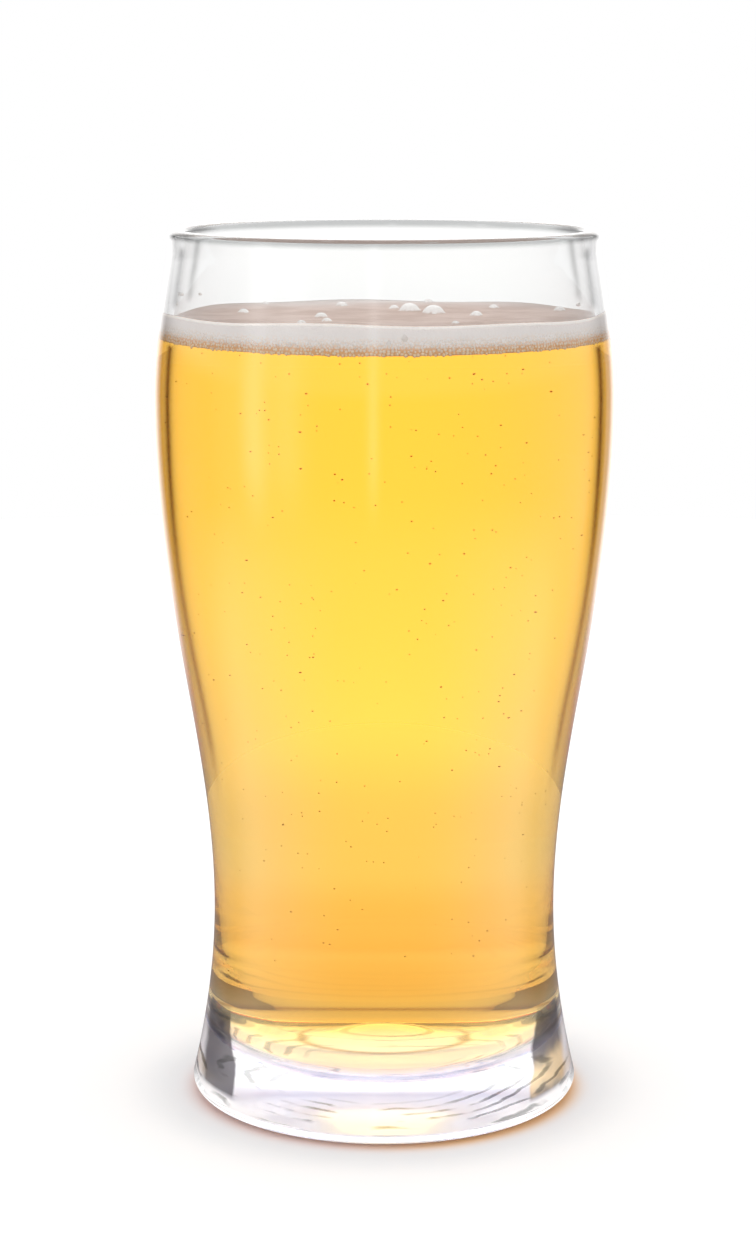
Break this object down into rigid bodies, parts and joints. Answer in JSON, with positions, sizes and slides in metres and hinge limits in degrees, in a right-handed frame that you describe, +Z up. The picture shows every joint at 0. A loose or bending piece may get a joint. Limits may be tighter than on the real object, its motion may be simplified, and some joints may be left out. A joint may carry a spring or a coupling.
{
  "type": "pint of cider",
  "caption": "Tall tulip pint glass with a rounded rim and a thick clear base, filled with golden cider under a thin, uneven head of froth.",
  "frame": {"origin": "on the table, at the middle of the glass's foot", "axes": "+Z up along the glass's axis, -Y towards the viewer, +X to the viewer's right"},
  "size_m": [0.0844, 0.0844, 0.162],
  "materials": {
    "glass": "clear, colourless and polished",
    "cider": "clear golden-yellow liquid",
    "froth": "satin off-white foam with fine bubbles"
  },
  "bodies": {
    "root": {"glass": "glass", "cider": "cider", "froth": "froth"}
  },
  "joints": []
}
